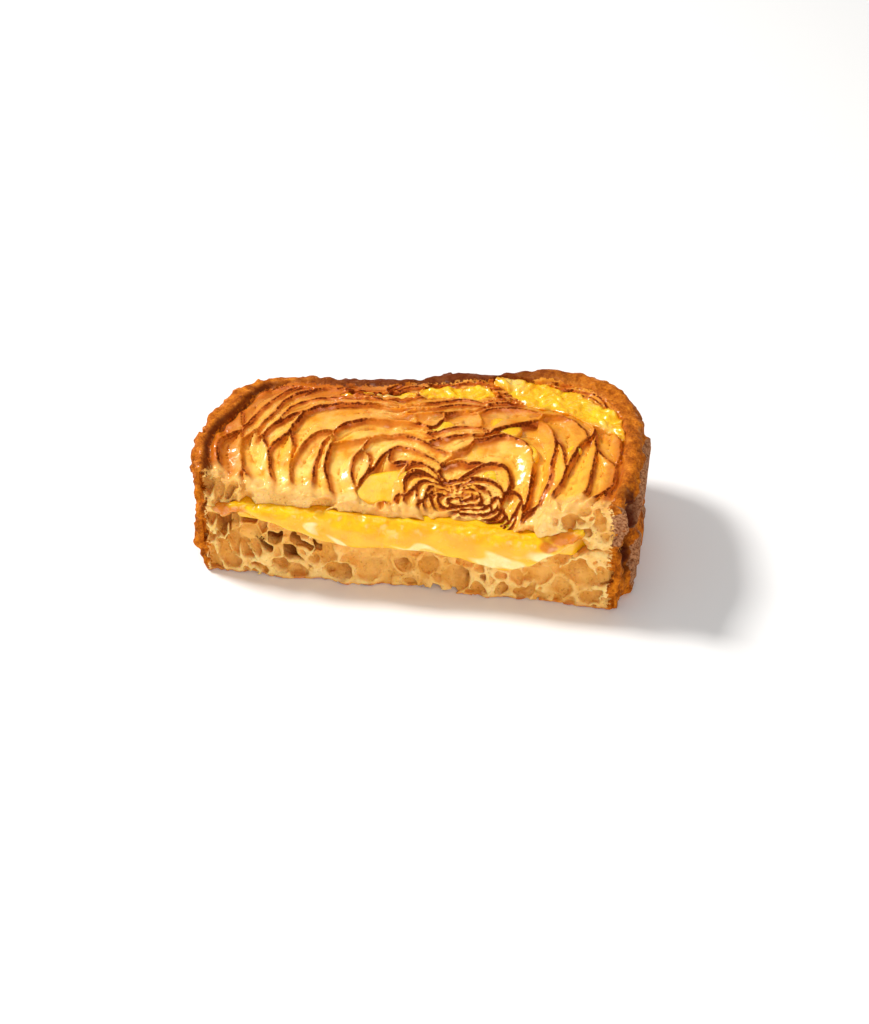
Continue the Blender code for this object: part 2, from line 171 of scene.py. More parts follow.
# Larger scoops of the toasted face: x, y, half length along the spiral, half width, depth
WIDE_SCOOPS = [
    (-29.3, 25.7, 13.0, 3.6, 3.6), (-38.6, 19.8, 6.0, 2.4, 2.8), (-41.8, 8.4, 9.0, 3.0, 3.0),
    (-35.9, 9.0, 9.5, 2.6, 3.0), (-29.8, 9.0, 9.0, 2.8, 3.0), (-49.4, 8.6, 6.0, 2.8, 2.8),
    (-53.1, 20.9, 5.0, 2.6, 2.6), (-46.6, 29.8, 6.0, 2.6, 2.2), (-20.4, 9.4, 10.0, 2.5, 3.0),
    (-14.8, 12.9, 5.0, 1.6, 2.4), (-7.8, 8.8, 8.5, 4.2, 3.4), (-11.0, 25.6, 9.0, 2.7, 3.0),
    (-9.5, 20.4, 9.0, 2.0, 2.4), (-4.0, 17.4, 4.5, 1.7, 2.2), (-0.5, 13.8, 3.0, 1.3, 2.0),
    (11.2, 15.0, 5.0, 2.0, 2.6), (6.4, 22.0, 4.5, 1.5, 2.2), (7.4, 31.2, 6.5, 2.6, 2.8),
    (1.0, 31.0, 4.0, 2.2, 1.8), (23.7, 21.4, 9.5, 3.6, 2.8), (30.6, 26.0, 9.5, 4.3, 4.8),
    (36.8, 29.0, 7.0, 3.4, 2.6), (41.8, 12.7, 9.0, 3.3, 3.4), (35.8, 17.0, 9.0, 1.9, 2.4),
    (47.0, 13.0, 7.0, 2.2, 3.0), (48.2, 29.0, 6.0, 2.2, 2.6), (17.6, 14.8, 3.6, 2.8, 2.2),
    (24.9, 7.4, 4.5, 2.4, 2.6), (20.1, 34.6, 5.0, 3.8, 2.0),
]
# Cheese that lies in the scoops: x, y, half length, half width, lean in degrees
CHEESE_POOLS = [
    (-8.3, 8.0, 7.8, 5.0, 26),
    (4.3, 28.2, 3.4, 2.8, 0),
    (19.2, 13.6, 3.2, 2.5, 60),
    (25.4, 5.4, 6.0, 2.5, 72),
    (20.6, 31.6, 5.2, 3.4, -30),
    (27.2, 22.0, 3.6, 2.6, -60),
    (39.2, 24.2, 2.0, 2.0, 0),
]
FRIED_INSET = 2.2  # how far in from the crust line the fried cheese ends
FRIED_BED = 1.9  # how deep the face lies under it
SHEET_SINK = 1.3  # how far the fried cheese and the pools start below the pan
POOL_SINK = 1.2
# Cheese that ran out and fried on the face, as lines of places: x, y, half width
FRIED_LINES = [
    [
        (18.6, 49.6, 3.6),
        (26, 47.6, 5.2),
        (34, 45.4, 5.0),
        (42, 41.8, 4.4),
        (48.4, 36.4, 3.6),
        (51.4, 31.6, 2.2),
    ],
    [(-23, 38.8, 0.8), (-14, 40.2, 1.2), (-6, 41.4, 0.9)],
    [(-3, 42.2, 1.4), (4, 43.6, 2.8), (11, 44.6, 3.6), (15.6, 44.4, 2.0)],
]
# The plain crumb along the cut, where no ridge reached the pan: x, how far back it runs
CRUMB_STRIP = [
    (-57, 7.0), (-52, 6.0), (-47, 3.6), (-38, 2.8), (-17, 3.2), (-8, 2.2), (9, 3.4), (16, 3.4),
    (22, 1.8), (26, -0.6), (29, 1.6), (34, 5.5), (45, 4.2), (56, 3.8),
]

# Raised plates and splits of the right end's crust: y, z, half length, half width, lean, height
CRUST_PLATES = [
    (23.0, 29.2, 13.0, 3.6, 0, 1.0),
    (11.5, 25.0, 6.5, 2.6, 78, 1.0),
    (0.2, 27.0, 6.5, 1.6, 84, 0.9),
    (11.0, 8.6, 8.0, 3.0, 66, 1.1),
    (34.0, 12.0, 8.0, 3.0, 14, 0.7),
]
CRUST_SPLITS = [
    (6.2, 20.5, 13.5, 4.6, 86, 4.5),
    (28.0, 20.5, 14.0, 1.2, 8, 2.2),
    (43.0, 22.0, 10.0, 1.1, 60, 1.6),
]


def smoothstep(low, high, value):
    t = np.clip((value - low) / (high - low), 0, 1)
    return t * t * (3 - 2 * t)


def smooth_max(a, b, radius):
    """The larger of two fields, rounded where they meet."""
    h = np.clip(0.5 + 0.5 * (a - b) / radius, 0, 1)
    return b + (a - b) * h + radius * h * (1 - h)


def smooth_min(a, b, radius):
    return -smooth_max(-a, -b, radius)


def turned(across, up, degrees):
    """Two offsets measured along and square to a line that leans by so many degrees."""
    turn = math.radians(degrees)
    along = across * math.cos(turn) + up * math.sin(turn)
    square = up * math.cos(turn) - across * math.sin(turn)
    return along, square


def smooth_line(points, x):
    """Height at x on the smooth line through (x, height) points."""
    xs, zs = np.array(points, np.float32).T
    i = np.clip(np.searchsorted(xs, x) - 1, 0, len(xs) - 2)
    return zs[i] + (zs[i + 1] - zs[i]) * smoothstep(xs[i], xs[i + 1], x)


def between(p, q, r, s, t):
    """Catmull-Rom value a share t of the way from q to r."""
    slope, bend = r - p, 2 * p - 5 * q + 4 * r - s
    return 0.5 * (2 * q + slope * t + bend * t * t + (3 * q - p - 3 * r + s) * t**3)


def spline(points, per_span):
    """Points of a Catmull-Rom curve through the given ones."""
    known = np.array([points[0], *points, points[-1]], float)
    made = [
        between(*known[span : span + 4], step / per_span)
        for span in range(len(points) - 1)
        for step in range(per_span)
    ]
    return np.array([*made, known[-1]])


OUTLINE = spline(CRUST_LINE, 12)
lower_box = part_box("bread_bottom")
ORIGIN = np.array([lower_box[0].x - OUTLINE[:, 0].min() * MM, lower_box[0].y, 0.0])
OUTLINE_RIGHT = OUTLINE[:, 0].max()
OUTLINE_LEFT = OUTLINE[:, 0].min()
OUTLINE_BACK = OUTLINE[:, 1].max()


def place(points):
    """Local millimetres to the frame's metres."""
    return np.asarray(points) * MM + ORIGIN


class Grid:
    """Evenly spaced points over a block of space."""

    def __init__(self, low, high):
        self.low = (np.round(np.array(low) / STEP) * STEP).astype(np.float32)
        counts = np.ceil((np.array(high) - self.low) / STEP).astype(int) + 1
        self.axes = [
            start + STEP * np.arange(count, dtype=np.float32)
            for start, count in zip(self.low, counts)
        ]
        self.x = self.axes[0][:, None, None]
        self.y = self.axes[1][None, :, None]
        self.z = self.axes[2][None, None, :]
        self.shape = tuple(counts)

    def filled(self, value):
        return np.full(self.shape, value, np.float32)

    def noise(self, scale, seed):
        return grid_noise(self.axes, scale, seed)

    def block(self, low, high):
        """Slices that cover part of the grid."""
        first = np.maximum(np.floor((np.array(low) - self.low) / STEP).astype(int), 0)
        last = np.minimum(np.ceil((np.array(high) - self.low) / STEP).astype(int) + 1, self.shape)
        if (last <= first).any():
            return None
        return tuple(slice(a, b) for a, b in zip(first, last))


def spline_weights(axis, scale, shift):
    """Cubic B-spline weights of random lattice values for the points of one axis."""
    place_on_lattice = (axis - axis[0]) / scale + shift
    base = np.floor(place_on_lattice).astype(int)
    t = place_on_lattice - base
    weights = np.zeros((len(axis), base.max() + 4), np.float32)
    rows = np.arange(len(axis))
    shares = ((1 - t) ** 3, 3 * t**3 - 6 * t**2 + 4, -3 * t**3 + 3 * t**2 + 3 * t + 1, t**3)
    for offset, share in enumerate(shares):
        weights[rows, base + offset] += share / 6
    return weights


def grid_noise(axes, scale, seed):
    """Smooth noise from about -1 to 1 over two or three axes, with bumps of the given size."""
    random = np.random.default_rng(seed)
    scales = scale if isinstance(scale, tuple) else (scale,) * len(axes)
    weights = [spline_weights(axis, s, random.random()) for axis, s in zip(axes, scales)]
    strength = 1.6 ** len(axes)
    field = random.uniform(-strength, strength, [w.shape[1] for w in weights]).astype(np.float32)
    for w in weights:
        field = np.tensordot(field, w, axes=([0], [1]))
    return field


# ---------------- maps over the slice, seen from above

MAP = Grid(
    (OUTLINE_LEFT - MARGIN, -5.0 - MARGIN, 0.0),
    (OUTLINE_RIGHT + MARGIN, OUTLINE_BACK + MARGIN, 0.0),
)
MAP_AXES = MAP.axes[:2]
MAP_X, MAP_Y = np.meshgrid(*MAP_AXES, indexing="ij")


def map_noise(scale, seed):
    return grid_noise(MAP_AXES, scale, seed)


def direction(x, y):
    """Angle round the swirl's centre, from straight in front of the cut."""
    angle = np.arctan2(y - SWIRL_CENTRE[1], x - SWIRL_CENTRE[0])
    return np.where(angle > -math.pi / 2, angle, angle + math.tau)


OUTLINE_ANGLES = direction(*OUTLINE.T)[::-1]
OUTLINE_REACHES = np.hypot(*(OUTLINE - SWIRL_CENTRE).T)[::-1]


def crust_reach(angle):
    """Distance from the swirl's centre to the crust, as if the loaf went on in front of the cut."""
    return np.interp(angle, OUTLINE_ANGLES, OUTLINE_REACHES, period=math.tau)


def to_segment(a, b):
    """Share of the way from a to b nearest to each point of the map, and the offsets from there."""
    dx, dy = b[0] - a[0], b[1] - a[1]
    share = np.clip(((MAP_X - a[0]) * dx + (MAP_Y - a[1]) * dy) / (dx * dx + dy * dy), 0, 1)
    return share, MAP_X - a[0] - share * dx, MAP_Y - a[1] - share * dy


def crust_distances():
    """Distance inwards from the crust line at every point of the map."""
    (x0, y0), (x1, y1) = OUTLINE[0], OUTLINE[-1]
    line = np.array([(x0 + 0.9, y0 - 6), *OUTLINE, (x1 - 1.2, y1 - 6)])
    nearest = np.full(MAP_X.shape, 1e9)
    for a, b in zip(line, line[1:]):
        _, off_x, off_y = to_segment(a, b)
        nearest = np.minimum(nearest, off_x**2 + off_y**2)
    front = MAP_Y < 0
    inside_front = (MAP_X > x0 - 0.15 * MAP_Y) & (MAP_X < x1 + 0.2 * MAP_Y)
    inside_crust = np.hypot(MAP_X - SWIRL_CENTRE[0], MAP_Y - SWIRL_CENTRE[1]) < crust_reach(ANGLE)
    inside = np.where(front, inside_front, inside_crust)
    return np.sqrt(nearest) * np.where(inside, 1, -1)


ANGLE = direction(MAP_X, MAP_Y)
CRUST_INSET = crust_distances()

wobble_x = 1.3 * map_noise(11, 1) + 0.35 * map_noise(3.5, 2)
wobble_y = 1.3 * map_noise(11, 3) + 0.35 * map_noise(3.5, 4)
CURL = np.exp(-(((MAP_X - SWIRL_CENTRE[0]) / 16) ** 2) - ((MAP_Y - SWIRL_CENTRE[1]) / 11) ** 2)
wobble_x += 1.2 * CURL * map_noise(4.5, 7)
wobble_y += CURL * (1.2 * map_noise(4.5, 8) - 1.1 * (MAP_Y - SWIRL_CENTRE[1]))
SWIRL_ANGLE = direction(MAP_X - wobble_x, MAP_Y - wobble_y)
SWIRL_REACH = crust_reach(SWIRL_ANGLE)
SWIRL_RADIUS = np.hypot(MAP_X - wobble_x - SWIRL_CENTRE[0], MAP_Y - wobble_y - SWIRL_CENTRE[1])
SWIRL_TURN = SWIRL_TURNS * SWIRL_RADIUS / SWIRL_REACH - SWIRL_ANGLE / math.tau


def seam(x):
    return SEAM_HEIGHT + SEAM_SLOPE * x


def pan_height():
    """The flat of the toasted face before its scoops sink in."""
    wave = 0.35 * map_noise(14, 5) + 0.12 * map_noise(4, 6)
    edge = smooth_line(EDGE_LINE, MAP_X)
    fade = np.exp(-((np.maximum(MAP_Y, 0) / SAG_REACH_BACK) ** 2))
    return TOTAL_HEIGHT - 0.55 + wave - (TOTAL_HEIGHT - edge) * fade


LIGHTWARD = np.array([-0.85, 0.53])  # the scoops lean, so their walls on this side are the steep ones


def map_index(x, y):
    return round((x - MAP.low[0]) / STEP), round((y - MAP.low[1]) / STEP)


def scoop_seeds():
    """Scoops between the swirl's ridges: turn, angle, half length, half width, lean and depth."""
    random = np.random.default_rng(11)
    seeds = []
    for x, y, half_length, half_width, depth in WIDE_SCOOPS:
        here = map_index(x, y)
        seeds.append((SWIRL_TURN[here], SWIRL_ANGLE[here], half_length, half_width, 0.0, depth))
    placed = len(seeds)
    for half_turn in range(-2, 2 * round(SWIRL_TURNS) + 2):
        tight = half_turn < 2 * CORE_TURNS
        angle = -math.pi / 2 + random.uniform(0, 0.4)
        while angle < 1.5 * math.pi:
            split = tight or (0.25 * math.pi < angle < 0.95 * math.pi and random.random() < 0.6)
            length = random.uniform(6, 14) if tight else random.uniform(13, 32)
            reach = crust_reach(angle)
            middle = half_turn / 2 + (0.25 if split else 0.5) + random.uniform(-0.12, 0.12)
            radius = (middle + angle / math.tau) / SWIRL_TURNS * reach
            if split or half_turn % 2 == 0:
                half_width = reach / SWIRL_TURNS * (0.28 if split else random.uniform(0.42, 0.6))
                free = all(
                    math.hypot(
                        (middle - other[0]) * reach / SWIRL_TURNS / (other[3] + 0.5 * half_width),
                        (angle - other[1]) * radius / (other[2] + 0.3 * length),
                    )
                    > 1
                    for other in seeds[:placed]
                )
                if 0.5 < radius < reach and free:
                    lean = random.uniform(-0.14, 0.14)
                    depth = random.uniform(1.0, 1.9) if split else random.uniform(1.6, 3.0)
                    seeds.append((middle, angle, length / 2, half_width, lean, depth))
            angle += length / max(radius, 3.0)
    return seeds


def scoop_cells():
    """For each point of the map: distance to the nearest ridge, how it faces, and its scoop's depth."""
    spacing = SWIRL_REACH / SWIRL_TURNS
    nearest = np.full(MAP_X.shape, 1e3)
    second = np.full(MAP_X.shape, 1e3)
    owner = np.zeros(MAP_X.shape, int)
    offset = np.zeros((2, *MAP_X.shape))
    seeds = scoop_seeds()
    for number, (turn, angle, half_length, half_width, lean, _) in enumerate(seeds):
        along = (SWIRL_ANGLE - angle) * np.maximum(SWIRL_RADIUS, 1.5)
        across = (SWIRL_TURN - turn) * spacing - lean * along
        distance = np.hypot(across / half_width, along / half_length)
        closer = distance < nearest
        second = np.where(closer, nearest, np.minimum(second, distance))
        nearest = np.where(closer, distance, nearest)
        owner = np.where(closer, number, owner)
        offset[0] = np.where(closer, across / half_width, offset[0])
        offset[1] = np.where(closer, along / half_length, offset[1])
    gap = second - nearest
    gap_x, gap_y = np.gradient(gap, STEP)
    steepness = np.maximum(np.hypot(gap_x, gap_y), 0.06)
    share = SWIRL_RADIUS / SWIRL_REACH
    out_x, out_y = np.gradient(share, STEP)
    out_length = np.maximum(np.hypot(out_x, out_y), 1e-6)
    out_x, out_y = out_x / out_length, out_y / out_length
    arc_wall = abs(gap_x * out_x + gap_y * out_y) / steepness
    shaded = -(gap_x * LIGHTWARD[0] + gap_y * LIGHTWARD[1]) / steepness
    toward_light = offset[0] * (out_x * LIGHTWARD[0] + out_y * LIGHTWARD[1])
    toward_light += 0.5 * offset[1] * (out_x * LIGHTWARD[1] - out_y * LIGHTWARD[0])
    depths = np.array([seed[5] for seed in seeds])[owner]
    distance = gap / steepness
    return distance, np.clip(arc_wall, 0, 1), shaded, np.clip(toward_light, -1, 1), depths


PAN = pan_height()
RIDGE_DISTANCE, ARC_WALL, SHADED_WALL, LIGHTWARD_SIDE, SCOOP_DEPTH = scoop_cells()
# 1 on the steep walls of the scoops, which face away from the key light; the face's colour uses this
# for painted shade
STEEP_SIDE = smoothstep(-0.4, 0.6, SHADED_WALL)
PAST_STRIP = MAP_Y - smooth_line(CRUMB_STRIP, MAP_X) + 0.9 * map_noise(3.0, 22)
STRIP = smoothstep(1.0, -1.0, PAST_STRIP)


def core_share():
    """The tight, dark middle of the swirl: 1 there, 0 outside it."""
    wander = 0.25 * map_noise(6, 21)
    reach = np.hypot((MAP_X - 15) / 25, (MAP_Y - 6) / 12)
    return smoothstep(1.15, 0.55, reach + wander)


CORE = core_share()

# A second, torn layer of the dough shows beside some ridges: its distance from them, and its share
LEDGE = 0.9 + 0.5 * map_noise((4.0, 3.0), 24) + 0.12 * map_noise(1.2, 25)
LEDGE_SHARE = STEEP_SIDE * smoothstep(-0.3, 0.2, map_noise(6.0, 26))


def face_height():
    """The toasted face: thin ridges that touched the pan, and smooth bowls between them."""
    ridge_half = 0.14 + 0.08 * CORE
    bowl = np.maximum(RIDGE_DISTANCE - ridge_half, 0)
    reach = 1.3 - 0.7 * STEEP_SIDE - 0.3 * CORE
    depth = 0.44 * SCOOP_DEPTH * (1 - np.exp(-bowl / reach)) * (1 + 0.35 * LIGHTWARD_SIDE)
    ledge = 0.3 * LEDGE_SHARE * smoothstep(-0.2, 0.2, RIDGE_DISTANCE - LEDGE)
    torn = 0.4 * np.maximum(map_noise(1.4, 13), 0)
    torn = torn + 0.6 * np.maximum(map_noise(6, 14), 0)
    lowered = 0.7 * torn + 1.0 * (1 - ARC_WALL) * (1 - 0.7 * CORE)
    strip = STRIP * (0.7 + 0.5 * map_noise(2.2, 18) + 0.3 * map_noise(0.9, 19))
    rim_edge = CRUST_RIM - CRUST_INSET + 0.6 * map_noise(6, 15)
    for x, y, spread, extra in WIDE_RIM:
        rim_edge += extra * np.exp(-((MAP_X - x) ** 2 + (MAP_Y - y) ** 2) / spread**2)
    on_rim = smoothstep(-0.8, 0.5, rim_edge)
    rough_rim = 0.22 * map_noise(1.1, 16) + 0.3 * map_noise(3, 17)
    fold = smoothstep(-38, -48, MAP_X) * np.exp(-(((rim_edge + 0.3) / 0.75) ** 2))
    sunk = (depth + lowered + ledge) * (1 - on_rim) * (1 - 0.5 * STRIP) + strip + 1.4 * fold
    return PAN - sunk + rough_rim * on_rim, rim_edge, on_rim


FACE, RIM_EDGE, ON_RIM = face_height()


def toast_strength():
    """How darkly each ridge is toasted, from 0 to 1."""
    strength = np.clip(0.8 + 0.5 * map_noise(4.5, 23), 0.2, 1.0) * (0.25 + 0.75 * ARC_WALL)
    strength = np.maximum(strength, 0.8 * CORE)
    return strength * (1 - 0.95 * STRIP) * (1 - ON_RIM)


TOAST = toast_strength()


def fried_share():
    """Distance into the cheese that ran over the face and fried there; below 0 outside it."""
    ragged = 0.9 * map_noise(5, 31) + 0.45 * map_noise(1.8, 32)
    inside = np.full(MAP_X.shape, -9.0)
    for line in FRIED_LINES:
        for a, b in zip(line, line[1:]):
            share, off_x, off_y = to_segment(a, b)
            half_width = a[2] + share * (b[2] - a[2])
            inside = np.maximum(inside, half_width - np.hypot(off_x, off_y))
    return inside + ragged


FRIED = fried_share()
FACE = np.where(FRIED > 0, np.minimum(FACE, PAN - FRIED_BED), FACE)


def pool_share():
    """Distance into the cheese that lies in the scoops; below 0 outside it."""
    inside = np.full(MAP_X.shape, -9.0)
    for x, y, half_length, half_width, lean in CHEESE_POOLS:
        along, across = turned(MAP_X - x, MAP_Y - y, lean)
        share = 1 - np.hypot(along / half_length, across / half_width)
        inside = np.maximum(inside, share * half_width)
    return inside + 0.4 * map_noise(2.5, 37)


POOLS = pool_share()


# ---------------- bread


def half_opening():
    """Half of the space between the slices on the map: closed at the crust, open over the cheese."""
    opened = smoothstep(RIM_WIDTH, CHEESE_INSET, CRUST_INSET)
    return SEAM_GAP / 2 + opened * CHEESE_THICKNESS / 2


OPENING = half_opening()


def patch_reach(row, y, z):
    """Distance from the middle of a plate or split of the right end, 1 at its edge."""
    centre_y, centre_z, half_length, half_width, lean, _ = row
    along, across = turned(y - centre_y, z - centre_z, lean)
    return np.hypot(along / half_length, across / half_width)


def over(grid, values):
    """The part of a map's values that lies over another grid, the same at all heights."""
    i, j = np.round((grid.low - MAP.low) / STEP).astype(int)[:2]
    return values[i : i + grid.shape[0], j : j + grid.shape[1], None]


def right_end_relief(grid):
    """Height of the plates and depth of the splits on the right end's crust, seen along x."""
    y, z = grid.axes[1][:, None], grid.axes[2][None, :]
    ragged = grid_noise(grid.axes[1:], 3, 41) + 0.5 * grid_noise(grid.axes[1:], 1.1, 42)
    relief = np.zeros((len(grid.axes[1]), len(grid.axes[2])), np.float32)
    for row in CRUST_PLATES:
        reach = patch_reach(row, y, z) + 0.22 * ragged
        relief = np.maximum(relief, row[5] * smoothstep(1.12, 0.92, reach))
    for row in CRUST_SPLITS:
        reach = patch_reach(row, y, z) + 0.22 * ragged
        relief -= row[5] * smoothstep(1.15, 0.3, reach)
    return relief


def crust_field(grid, share, upper):
    """Distance outwards from the crust; share runs from 0 at the slice's floor to 1 at its roof."""
    toasted_side = share if upper else 1 - share
    right = smoothstep(30, 52, grid.x)
    rounding = 1.9 + (0.6 if upper else -0.9) * right
    edge = 1 - np.sqrt(np.clip(1 - np.maximum(0, 2 * toasted_side - 1) ** 2, 0, 1))
    seam_edge = 1 - np.sqrt(np.clip(1 - np.maximum(0, 1 - 2 * toasted_side) ** 2, 0, 1))
    rough = 0.4 * grid.noise(5, 43 + upper) + 0.3 * grid.noise(1.7, 45 + upper)
    rough += 0.28 * grid.noise(0.9, 47 + upper) * (1 + 0.6 * smoothstep(-40, -54, grid.x))
    relief = right_end_relief(grid)[None, :, :] * smoothstep(38, 50, grid.x)
    proud = 0.3 * smoothstep(38, 50, grid.x) + 0.4
    inset = over(grid, CRUST_INSET) - rounding * edge - (2.4 - 1.0 * right) * seam_edge
    return -(inset - proud + relief + rough)


def hole_field(grid, holes, small_count, crowding, seed, z_range):
    """Distance into the gas holes of the cut face, with thin walls left where two of them meet."""
    random = np.random.default_rng(seed)
    bubbles = [(x, 0.0, z, wide, 0.8 * depth, high, lean) for x, z, wide, high, depth, lean in holes]
    large = len(bubbles)
    low_z, high_z = z_range
    for _ in range(small_count):
        x = random.uniform(OUTLINE_LEFT + 4, OUTLINE_RIGHT - 5)
        keep = random.random() < smooth_line(crowding, x)
        z = random.uniform(low_z(x), max(high_z(x), low_z(x) + 0.5))
        size = 0.5 + 1.5 * random.random() ** 2
        tall = random.uniform(0.9, 1.6)
        depth = size * random.uniform(0.55, 1.0)
        y, lean = depth * random.uniform(-0.3, 0.6), random.uniform(-40, 40)
        in_large = any(
            math.hypot((x - hole[0]) / hole[3], (z - hole[2]) / hole[5]) < 1.15
            for hole in bubbles[:large]
        )
        if keep and not in_large:
            bubbles.append((x, y, z, size, depth, size * tall, lean))
    nearest = grid.filled(9.0)
    second = grid.filled(9.0)
    for x, y, z, half_width, depth, half_height, lean in bubbles:
        reach = max(half_width, half_height) + 1.3
        back = depth + 1.3
        part = grid.block((x - reach, y - back, z - reach), (x + reach, y + back, z + reach))
        if part is None:
            continue
        along, up = turned(grid.x[part[0]] - x, grid.z[:, :, part[2]] - z, lean)
        dy = grid.y[:, part[1]] - y
        q = np.sqrt((along / half_width) ** 2 + (dy / depth) ** 2 + (up / half_height) ** 2)
        distance = ((q - 1) * min(half_width, half_height, depth)).astype(np.float32)
        old_nearest, old_second = nearest[part], second[part]
        second[part] = np.minimum(old_second, np.maximum(old_nearest, distance))
        nearest[part] = np.minimum(old_nearest, distance)
    wall = 0.42 + 0.5 * grid.noise(2.6, seed + 5)  # below 0 two bubbles have run together
    uneven = 0.3 * grid.noise(1.4, seed + 1) + 0.15 * grid.noise(0.8, seed + 4)
    swell = 0.45 + 0.6 * smoothstep(5, -30, grid.x)
    return np.maximum(nearest - swell + uneven, wall - (second - nearest))


def slope_share(height):
    """How much a height's vertical distance overstates the true distance from its surface."""
    return 1 / np.sqrt(1 + sum(g * g for g in np.gradient(height, STEP)))


def cut_field(grid, seed):
    """Distance in front of the cut face, which the knife tore a little."""
    torn = 0.5 * grid.noise(6.5, seed + 3) + 0.42 * grid.noise(3.2, seed)
    torn += 0.26 * grid.noise(1.1, seed + 1)
    torn += 0.1 * grid.noise(0.7, seed + 2)
    return -grid.y + torn


def upper_slice_field():
    low_z = seam(OUTLINE_RIGHT) - MARGIN
    high = (OUTLINE_RIGHT + MARGIN, OUTLINE_BACK + MARGIN, TOTAL_HEIGHT + MARGIN)
    grid = Grid((MAP.low[0], MAP.low[1], low_z), high)
    ragged = 0.3 * map_noise(2.4, 55) * smoothstep(3, 0, MAP_Y) * smoothstep(0.5, 2, OPENING)
    floor = over(grid, seam(MAP_X) + OPENING + ragged)
    top = np.maximum(FACE, seam(MAP_X) + 0.9)
    share = np.clip((grid.z - floor) / (over(grid, PAN) - floor), 0, 1)
    field = np.maximum((grid.z - over(grid, top)) * over(grid, slope_share(top)), floor - grid.z)
    field = smooth_max(field, crust_field(grid, share, True), 0.8)
    field = smooth_max(field, cut_field(grid, 51), 0.5)
    z_range = (lambda x: seam(x) + 1.5, lambda x: smooth_line(EDGE_LINE, x) - 1.6)
    holes = hole_field(grid, UPPER_HOLES, 260, UPPER_CROWDING, 53, z_range)
    keep = WHOLE_CRUST - over(grid, CRUST_INSET)
    return grid, smooth_max(field, -np.maximum(holes, keep), HOLE_ROUNDING)


def lower_slice_field():
    high_z = seam(OUTLINE_LEFT) + MARGIN
    high = (OUTLINE_RIGHT + MARGIN, OUTLINE_BACK + MARGIN, high_z)
    grid = Grid((MAP.low[0], MAP.low[1], -MARGIN), high)
    roof = over(grid, seam(MAP_X) - OPENING)
    share = np.clip(grid.z / roof, 0, 1)
    field = np.maximum(grid.z - roof, over(grid, underside_height()) - grid.z)
    field = np.maximum(field, crust_field(grid, share, False))
    field = smooth_max(field, cut_field(grid, 61), 0.5)
    z_range = (lambda x: 1.2, lambda x: seam(x) - 3.2)
    holes = hole_field(grid, LOWER_HOLES, 520, LOWER_CROWDING, 63, z_range)
    keep = np.maximum(WHOLE_CRUST - over(grid, CRUST_INSET), 0.7 - grid.z)
    return grid, smooth_max(field, -np.maximum(holes, keep), HOLE_ROUNDING)


def underside_height():
    """The lower toasted face: nearly flat, with the swirl pressed shut and small pits."""
    groove = smoothstep(0.45, 0.0, RIDGE_DISTANCE)
    pits = np.maximum(map_noise(2.2, 65) - 0.35, 0)
    inner = smoothstep(2.0, 5.0, CRUST_INSET)
    return 0.02 + (0.45 * groove + 0.8 * pits) * inner


def within_reach(grid, field):
    """The field cut off just short of the part's own left, right and top."""
    sides = np.maximum(OUTLINE_LEFT - grid.x, grid.x - OUTLINE_RIGHT) + SIDE_SLACK
    return np.maximum(np.maximum(field, sides), grid.z - TOTAL_HEIGHT + TOP_SLACK)


def mesh_from(name, grid, field, adaptivity):
    """The closed surface of a field, as an object in the frame's place."""
    field = within_reach(grid, field)
    volume = openvdb.FloatGrid(9.0)
    volume.copyFromArray(np.ascontiguousarray(np.clip(field, -9, 9), np.float32))
    points, triangles, quads = volume.convertToPolygons(isovalue=0.0, adaptivity=adaptivity)
    local = points * STEP + grid.low
    corners = np.concatenate([triangles[:, ::-1].ravel(), quads[:, ::-1].ravel()]).astype(np.int32)
    quad_starts = len(triangles) * 3 + np.arange(len(quads)) * 4
    starts = np.concatenate([np.arange(len(triangles)) * 3, quad_starts])
    mesh = bpy.data.meshes.new(name)
    mesh.vertices.add(len(local))
    mesh.vertices.foreach_set("co", place(local).astype(np.float32).ravel())
    mesh.loops.add(len(corners))
    mesh.loops.foreach_set("vertex_index", corners)
    mesh.polygons.add(len(starts))
    mesh.polygons.foreach_set("loop_start", starts.astype(np.int32))
    mesh.update(calc_edges=True)
    mesh.validate()
    mesh.shade_smooth()
    made = bpy.data.objects.new(name, mesh)
    bpy.context.scene.collection.objects.link(made)
    return made, local


def sample(values, local):
    """Values of the map above or below each point."""
    across = np.clip((local[:, 0] - MAP.low[0]) / STEP, 0, values.shape[0] - 1.001)
    back = np.clip((local[:, 1] - MAP.low[1]) / STEP, 0, values.shape[1] - 1.001)
    i, j = across.astype(int), back.astype(int)
    s, t = across - i, back - j
    front_row = values[i, j] * (1 - s) + values[i + 1, j] * s
    back_row = values[i, j + 1] * (1 - s) + values[i + 1, j + 1] * s
    return front_row * (1 - t) + back_row * t


def paint(made, **values):
    """Keeps values from 0 to 1 for each point of the mesh, for the material to read."""
    for name, value in values.items():
        attribute = made.data.attributes.new(name, "FLOAT", "POINT")
        spread = np.broadcast_to(np.clip(value, 0, 1), len(made.data.vertices))
        attribute.data.foreach_set("value", spread.astype(np.float32))


def right_end_share(local, rows, outer, inner):
    """1 inside the plates or splits of the right end, 0 outside them."""
    x, y, z = local.T
    share = np.maximum.reduce([smoothstep(outer, inner, patch_reach(row, y, z)) for row in rows])
    return share * smoothstep(48, 53, x)


